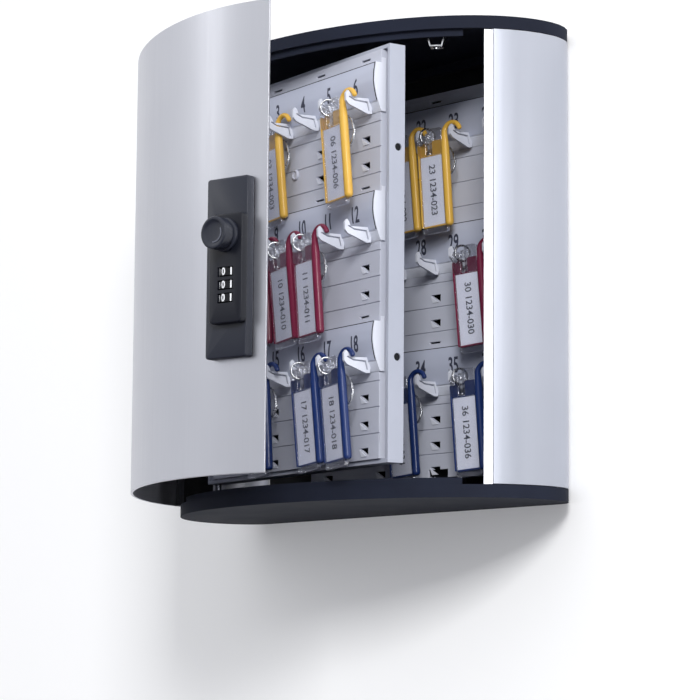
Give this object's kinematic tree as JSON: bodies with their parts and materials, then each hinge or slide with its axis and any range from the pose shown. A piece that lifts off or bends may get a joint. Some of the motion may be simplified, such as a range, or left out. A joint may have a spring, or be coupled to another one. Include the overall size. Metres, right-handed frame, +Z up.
{
  "type": "key cabinet",
  "caption": "Wall-mounted key cabinet with a curved door, a dial lock, a swing-out hook panel and a rear hook panel with hanging key tags.",
  "frame": {"origin": "centre of the rear face that lies against the wall", "axes": "+Y into the wall, so the door faces -Y; +Z up; +X to the right seen from the front"},
  "size_m": [0.302, 0.2284, 0.28],
  "materials": {
    "case_plastic": "fine textured, dark blue-grey",
    "aluminium": "finely brushed, anodised",
    "steel": "bright zinc plated",
    "panel_plastic": "light grey, satin",
    "hook_plastic": "light grey strip with white hooks",
    "lock_plastic": "satin, anthracite",
    "dial_plastic": "black with white digits",
    "tag_yellow": "yellow spine, clear holder",
    "tag_red": "dark red spine, clear holder",
    "tag_blue": "dark blue spine, clear holder"
  },
  "bodies": {
    "cabinet": {"bottom_cap": "case_plastic", "top_cap": "case_plastic", "back_plate": "case_plastic", "back_panel_ledge": "case_plastic", "back_panel_rail": "case_plastic", "right_side_panel": "aluminium", "left_rear_return": "aluminium", "door_stop_strip": "aluminium", "door_hinge_pin_lower": "steel", "door_hinge_pin_upper": "steel", "panel_hinge_pin_lower": "steel", "panel_hinge_pin_upper": "steel", "latch_strike": "steel", "back_hook_plate": "panel_plastic", "back_hook_strip_1": "hook_plastic", "back_hook_strip_2": "hook_plastic", "back_hook_strip_3": "hook_plastic"},
    "door": {"door_skin": "aluminium", "door_hinge_profile": "case_plastic", "lock_plate": "lock_plastic", "lock_housing": "lock_plastic", "lock_rear_case": "lock_plastic", "dial_axle": "steel", "latch_rod_guide_lower": "lock_plastic", "latch_rod_guide_upper": "lock_plastic"},
    "knob": {"lock_knob": "lock_plastic", "lock_spindle": "steel"},
    "latch_rod": {"latch_rod": "steel"},
    "dial_1": {"number_dial_1": "dial_plastic"},
    "dial_2": {"number_dial_2": "dial_plastic"},
    "dial_3": {"number_dial_3": "dial_plastic"},
    "swing_panel": {"swing_panel_tray": "panel_plastic", "swing_hook_plate": "panel_plastic", "swing_plate_screw": "steel", "swing_hook_strip_1": "hook_plastic", "swing_hook_strip_2": "hook_plastic", "swing_hook_strip_3": "hook_plastic"},
    "tag_03": {"key_tag_03": "tag_yellow"},
    "tag_06": {"key_tag_06": "tag_yellow"},
    "tag_09": {"key_tag_09": "tag_red"},
    "tag_10": {"key_tag_10": "tag_red"},
    "tag_11": {"key_tag_11": "tag_red"},
    "tag_15": {"key_tag_15": "tag_blue"},
    "tag_17": {"key_tag_17": "tag_blue"},
    "tag_18": {"key_tag_18": "tag_blue"},
    "tag_22": {"key_tag_22": "tag_yellow"},
    "tag_23": {"key_tag_23": "tag_yellow"},
    "tag_30": {"key_tag_30": "tag_red"},
    "tag_34": {"key_tag_34": "tag_blue"},
    "tag_36": {"key_tag_36": "tag_blue"}
  },
  "joints": [
    {"name": "door_hinge", "type": "hinge", "parent": "cabinet", "child": "door", "pos_m": [-0.1323, -0.0634, 0], "axis": [0, 0, 1], "range_deg": [-65, 30.4]},
    {"name": "panel_hinge", "type": "hinge", "parent": "cabinet", "child": "swing_panel", "pos_m": [-0.0989, -0.0691, 0], "axis": [0, 0, 1], "range_deg": [-19.5, 8.96]},
    {"name": "knob_turn", "type": "hinge", "parent": "door", "child": "knob", "pos_m": [0.0827, -0.21692, -0.0011], "axis": [-0.1503, 0.9886, 0], "range_deg": [0, 90.5]},
    {"name": "rod_slide", "type": "slide", "parent": "door", "child": "latch_rod", "axis": [0, 0, 1], "range_m": [0, 0.008]},
    {"name": "dial_1_turn", "type": "hinge", "parent": "door", "child": "dial_1", "pos_m": [0.08151, -0.20911, -0.0215], "axis": [0, 0, 1], "continuous": true},
    {"name": "dial_2_turn", "type": "hinge", "parent": "door", "child": "dial_2", "pos_m": [0.08151, -0.20911, -0.0288], "axis": [0, 0, 1], "continuous": true},
    {"name": "dial_3_turn", "type": "hinge", "parent": "door", "child": "dial_3", "pos_m": [0.08151, -0.20911, -0.0361], "axis": [0, 0, 1], "continuous": true},
    {"name": "tag_03_swing", "type": "hinge", "parent": "swing_panel", "child": "tag_03", "pos_m": [-0.00417, -0.10011, 0.092], "axis": [0.1556, 0.9878, 0], "range_deg": [-3, 3]},
    {"name": "tag_06_swing", "type": "hinge", "parent": "swing_panel", "child": "tag_06", "pos_m": [0.07595, -0.11972, 0.0916], "axis": [0.1556, 0.9878, 0], "range_deg": [-3, 3]},
    {"name": "tag_09_swing", "type": "hinge", "parent": "swing_panel", "child": "tag_09", "pos_m": [-0.00604, -0.10681, 0.0153], "axis": [0.1556, 0.9878, 0], "range_deg": [-3, 3]},
    {"name": "tag_10_swing", "type": "hinge", "parent": "swing_panel", "child": "tag_10", "pos_m": [0.01945, -0.11082, 0.0153], "axis": [0.1556, 0.9878, 0], "range_deg": [-3, 3]},
    {"name": "tag_11_swing", "type": "hinge", "parent": "swing_panel", "child": "tag_11", "pos_m": [0.0477, -0.11527, 0.0154], "axis": [0.1556, 0.9878, 0], "range_deg": [-3, 3]},
    {"name": "tag_15_swing", "type": "hinge", "parent": "swing_panel", "child": "tag_15", "pos_m": [-0.00475, -0.10701, -0.0608], "axis": [0.1556, 0.9878, 0], "range_deg": [-3, 3]},
    {"name": "tag_17_swing", "type": "hinge", "parent": "swing_panel", "child": "tag_17", "pos_m": [0.0477, -0.11527, -0.0606], "axis": [0.1556, 0.9878, 0], "range_deg": [-3, 3]},
    {"name": "tag_18_swing", "type": "hinge", "parent": "swing_panel", "child": "tag_18", "pos_m": [0.07595, -0.11972, -0.0604], "axis": [0.1556, 0.9878, 0], "range_deg": [-3, 3]},
    {"name": "tag_22_swing", "type": "hinge", "parent": "cabinet", "child": "tag_22", "pos_m": [0.0341, -0.0233, 0.0889], "axis": [0, 1, 0], "range_deg": [-3, 3]},
    {"name": "tag_23_swing", "type": "hinge", "parent": "cabinet", "child": "tag_23", "pos_m": [0.0634, -0.0233, 0.089], "axis": [0, 1, 0], "range_deg": [-3, 3]},
    {"name": "tag_30_swing", "type": "hinge", "parent": "cabinet", "child": "tag_30", "pos_m": [0.0941, -0.0233, 0.01355], "axis": [0, 1, 0], "range_deg": [-3, 3]},
    {"name": "tag_34_swing", "type": "hinge", "parent": "cabinet", "child": "tag_34", "pos_m": [0.0341, -0.0233, -0.0611], "axis": [0, 1, 0], "range_deg": [-3, 3]},
    {"name": "tag_36_swing", "type": "hinge", "parent": "cabinet", "child": "tag_36", "pos_m": [0.0924, -0.0233, -0.0609], "axis": [0, 1, 0], "range_deg": [-3, 3]}
  ],
  "couplings": [
    {"joint": "panel_hinge", "follows": "door_hinge", "ratio": 0.29441},
    {"joint": "knob_turn", "follows": "rod_slide", "rad_per_m": 196.35}
  ]
}
